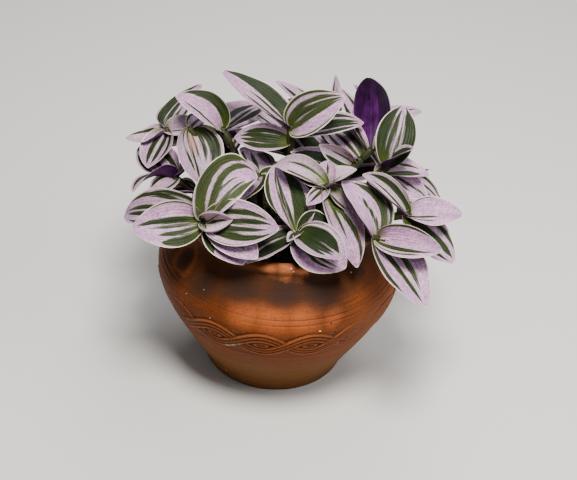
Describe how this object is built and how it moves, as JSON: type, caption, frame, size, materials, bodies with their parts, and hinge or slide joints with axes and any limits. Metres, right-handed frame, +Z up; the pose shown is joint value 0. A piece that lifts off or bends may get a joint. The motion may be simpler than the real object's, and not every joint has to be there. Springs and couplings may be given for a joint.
{
  "type": "potted tradescantia",
  "caption": "Low bushy tradescantia with broad pointed striped leaves, growing in a round-bellied terracotta pot with a rolled lip.",
  "frame": {"origin": "centre of the pot's flat foot, on the surface it stands on", "axes": "+Z up along the pot's axis, -Y towards the front of the plant, +X to the right seen from the front"},
  "size_m": [0.2211, 0.1849, 0.1994],
  "materials": {
    "clay": "unglazed, weathered terracotta",
    "earth": "damp crumbly potting soil",
    "foliage": "satin leaves, lilac striped with green, purple beneath"
  },
  "bodies": {
    "root": {"pot": "clay", "soil": "earth", "stem_front_left": "foliage", "stem_front": "foliage", "stem_heart": "foliage", "stem_right_front": "foliage", "stem_right": "foliage", "stem_right_crown": "foliage", "stem_right_upper": "foliage", "stem_crown": "foliage", "stem_left_crown": "foliage", "stem_left_far": "foliage", "stem_left_upper": "foliage", "stem_left": "foliage", "stem_back_left": "foliage", "stem_back": "foliage", "stem_back_right": "foliage", "stem_right_low": "foliage", "stem_inner_left": "foliage", "stem_inner_right": "foliage"}
  },
  "joints": []
}
